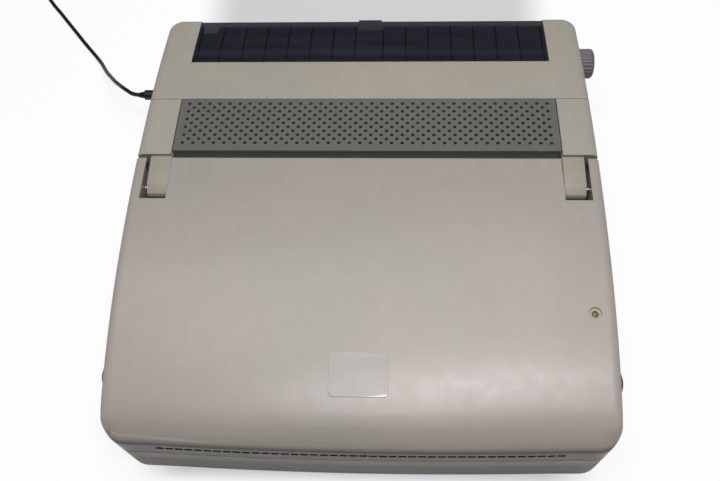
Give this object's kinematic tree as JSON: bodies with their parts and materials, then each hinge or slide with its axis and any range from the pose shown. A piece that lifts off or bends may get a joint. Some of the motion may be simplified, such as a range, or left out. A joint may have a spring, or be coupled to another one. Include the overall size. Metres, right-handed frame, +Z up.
{
  "type": "electronic word processor",
  "caption": "Desk-top word processor: a deep hinged lid over keyboard and screen, a perforated vent strip, and a built-in printer under a smoked cover, with a low-voltage lead.",
  "frame": {"origin": "middle of the table under the machine, measured over the knob and latches, at the bottom of the rubber feet", "axes": "+X to the right of someone typing, +Y to the back, +Z up"},
  "size_m": [0.5904, 0.6141, 0.108],
  "materials": {
    "case_plastic": "fine-grained moulded ABS, warm light grey",
    "lid_plastic": "fine-grained moulded ABS, warm light grey",
    "grille_plastic": "moulded ABS, mid grey",
    "smoked_plastic": "smoked transparent acrylic, glossy",
    "knob_plastic": "fluted dark grey plastic",
    "button_plastic": "dark grey plastic",
    "key_plastic": "light grey key caps, bare",
    "key_plastic_dark": "mid grey key caps, bare",
    "black_plastic": "black moulded plastic",
    "lead_plastic": "flexible black sheath",
    "black_rubber": "black rubber",
    "steel_sheet": "zinc-plated sheet",
    "steel_bar": "ground steel",
    "motor_metal": "drawn steel can",
    "gear_plastic": "natural acetal",
    "board_green": "glass-fibre board with green mask",
    "board_brown": "paper-based board with parts",
    "chip_black": "moulded epoxy",
    "aluminium_fins": "extruded aluminium",
    "lamp_green": "clear green lens, unlit",
    "screen_glass": "liquid-crystal glass, grey-green",
    "badge_plate": "bare plate",
    "white_plastic": "white light guide"
  },
  "bodies": {
    "base": {"lower_case": "case_plastic", "rubber_feet": "black_rubber", "case_screws": "steel_bar", "keyboard_deck": "case_plastic", "side_panel_left": "case_plastic", "side_panel_right": "case_plastic", "hinge_arm_left": "case_plastic", "hinge_arm_right": "case_plastic", "vent_grille": "grille_plastic", "rear_cover": "case_plastic", "feed_motor": "motor_metal", "paper_pan": "steel_sheet", "printer_frame": "steel_sheet", "guide_rod": "steel_bar", "guide_rail": "steel_sheet", "carriage_motor": "motor_metal", "drive_belt": "black_rubber", "main_board": "board_green", "board_chips": "chip_black", "power_board": "board_brown", "heat_sink": "aluminium_fins", "dc_jack": "black_plastic", "floppy_drive": "steel_sheet", "floppy_bezel": "case_plastic", "key_plate": "steel_sheet", "key_board": "board_green", "dc_plug": "black_plastic", "dc_lead": "lead_plastic", "dc_coil": "lead_plastic", "mains_adapter": "black_plastic"},
    "lid": {"lid_shell": "lid_plastic", "lid_bezel": "case_plastic", "lid_hinge_pins": "steel_bar", "power_lamp": "lamp_green", "name_plate": "badge_plate", "lcd_panel": "screen_glass", "lcd_backlight": "white_plastic"},
    "latch_left_body": {"latch_left": "button_plastic"},
    "latch_right_body": {"latch_right": "button_plastic"},
    "paper_cover_body": {"paper_cover": "smoked_plastic"},
    "platen": {"platen_roller": "black_rubber", "platen_shaft": "steel_bar", "platen_gear": "gear_plastic", "platen_knob": "knob_plastic"},
    "pinion": {"feed_pinion": "gear_plastic"},
    "pinch": {"pinch_rollers": "black_rubber"},
    "carriage_body": {"carriage": "black_plastic", "print_head": "motor_metal", "ribbon_cassette": "black_plastic"},
    "motor_pulley": {"drive_pulley": "gear_plastic"},
    "end_pulley": {"idler_pulley": "gear_plastic"},
    "eject": {"eject_button": "button_plastic"},
    "switch": {"power_switch": "button_plastic"},
    "keys_function": {"function_keys": "key_plastic_dark"},
    "keys_number": {"number_keys": "key_plastic"},
    "keys_upper": {"upper_keys": "key_plastic"},
    "keys_home": {"home_keys": "key_plastic"},
    "keys_lower": {"lower_keys": "key_plastic"},
    "keys_bottom": {"bottom_keys": "key_plastic_dark"},
    "keys_space": {"space_bar": "key_plastic"}
  },
  "joints": [
    {"name": "lid_hinge", "type": "hinge", "parent": "base", "child": "lid", "pos_m": [-0.00775, 0.009, 0.0925], "axis": [-1, 0, 0], "range_deg": [0, 115]},
    {"name": "latch_left_slide", "type": "slide", "parent": "lid", "child": "latch_left_body", "axis": [1, 0, 0], "range_m": [0, 0.0025], "stiffness_N_per_m": 300, "springref_m": -0.002},
    {"name": "latch_right_slide", "type": "slide", "parent": "lid", "child": "latch_right_body", "axis": [-1, 0, 0], "range_m": [0, 0.0025], "stiffness_N_per_m": 300, "springref_m": -0.002},
    {"name": "paper_cover_hinge", "type": "hinge", "parent": "base", "child": "paper_cover_body", "pos_m": [-0.00775, 0.202, 0.06918], "axis": [-1, 0, 0], "range_deg": [0, 105]},
    {"name": "platen_turn", "type": "hinge", "parent": "base", "child": "platen", "pos_m": [-0.00775, 0.171, 0.052], "axis": [1, 0, 0], "continuous": true},
    {"name": "pinion_turn", "type": "hinge", "parent": "base", "child": "pinion", "pos_m": [-0.00775, 0.17989, 0.02757], "axis": [1, 0, 0], "continuous": true},
    {"name": "pinch_turn", "type": "hinge", "parent": "base", "child": "pinch", "pos_m": [-0.00775, 0.16542, 0.03668], "axis": [1, 0, 0], "continuous": true},
    {"name": "carriage_slide", "type": "slide", "parent": "base", "child": "carriage_body", "axis": [1, 0, 0], "range_m": [0, 0.24]},
    {"name": "motor_pulley_turn", "type": "hinge", "parent": "base", "child": "motor_pulley", "pos_m": [0.14325, 0.128, 0.021], "axis": [0, 1, 0], "continuous": true},
    {"name": "end_pulley_turn", "type": "hinge", "parent": "base", "child": "end_pulley", "pos_m": [-0.15875, 0.128, 0.021], "axis": [0, 1, 0], "continuous": true},
    {"name": "eject_slide", "type": "slide", "parent": "base", "child": "eject", "axis": [-1, 0, 0], "range_m": [0, 0.0035], "stiffness_N_per_m": 400, "springref_m": -0.002},
    {"name": "switch_slide", "type": "slide", "parent": "base", "child": "switch", "axis": [0, 1, 0], "range_m": [0, 0.005]},
    {"name": "function_key_travel", "type": "slide", "parent": "base", "child": "keys_function", "axis": [0, 0.0773, -0.997], "range_m": [0, 0.003], "stiffness_N_per_m": 400, "springref_m": -0.003},
    {"name": "number_key_travel", "type": "slide", "parent": "base", "child": "keys_number", "axis": [0, 0.0773, -0.997], "range_m": [0, 0.003], "stiffness_N_per_m": 400, "springref_m": -0.003},
    {"name": "upper_key_travel", "type": "slide", "parent": "base", "child": "keys_upper", "axis": [0, 0.0773, -0.997], "range_m": [0, 0.003], "stiffness_N_per_m": 400, "springref_m": -0.003},
    {"name": "home_key_travel", "type": "slide", "parent": "base", "child": "keys_home", "axis": [0, 0.0773, -0.997], "range_m": [0, 0.003], "stiffness_N_per_m": 400, "springref_m": -0.003},
    {"name": "lower_key_travel", "type": "slide", "parent": "base", "child": "keys_lower", "axis": [0, 0.0773, -0.997], "range_m": [0, 0.003], "stiffness_N_per_m": 400, "springref_m": -0.003},
    {"name": "bottom_key_travel", "type": "slide", "parent": "base", "child": "keys_bottom", "axis": [0, 0.0773, -0.997], "range_m": [0, 0.003], "stiffness_N_per_m": 400, "springref_m": -0.003},
    {"name": "space_key_travel", "type": "slide", "parent": "base", "child": "keys_space", "axis": [0, 0.0773, -0.997], "range_m": [0, 0.003], "stiffness_N_per_m": 120, "springref_m": -0.003}
  ],
  "couplings": [
    {"joint": "pinion_turn", "follows": "platen_turn", "ratio": -3.3333},
    {"joint": "pinch_turn", "follows": "platen_turn", "ratio": -2.2},
    {"joint": "motor_pulley_turn", "follows": "carriage_slide", "rad_per_m": 132.45},
    {"joint": "end_pulley_turn", "follows": "carriage_slide", "rad_per_m": 132.45}
  ]
}
